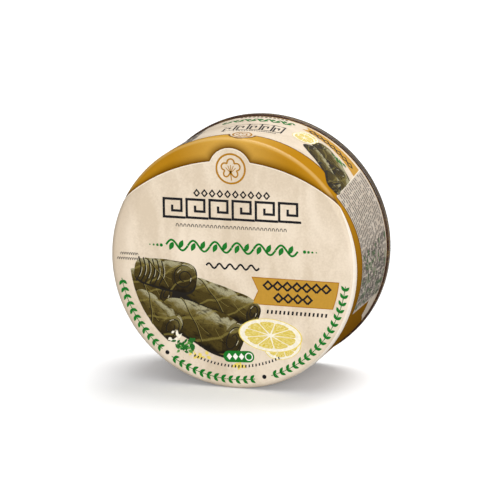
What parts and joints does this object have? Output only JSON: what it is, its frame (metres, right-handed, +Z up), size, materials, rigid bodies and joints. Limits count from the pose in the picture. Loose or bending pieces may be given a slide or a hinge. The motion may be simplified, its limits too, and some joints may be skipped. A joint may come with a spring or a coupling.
{
  "type": "round food tin of stuffed vine leaves",
  "caption": "Shut round drawn steel food tin with a printed flat face, rounded shoulder, short wall and a seamed end, standing on its wall.",
  "frame": {"origin": "on the ground under the middle of the tin, which stands on its curved wall", "axes": "+Y along the tin's axis, from the printed face at -Y to the seamed end at +Y; +Z up; +X to the right as seen from the front"},
  "size_m": [0.1012, 0.047, 0.1003],
  "materials": {
    "printed_steel": "satin cream and gold litho print under clear varnish",
    "gold_lacquer": "transparent gold-brown lacquer over tinplate"
  },
  "bodies": {
    "root": {"tin_body": "printed_steel", "tin_end": "gold_lacquer"}
  },
  "joints": []
}
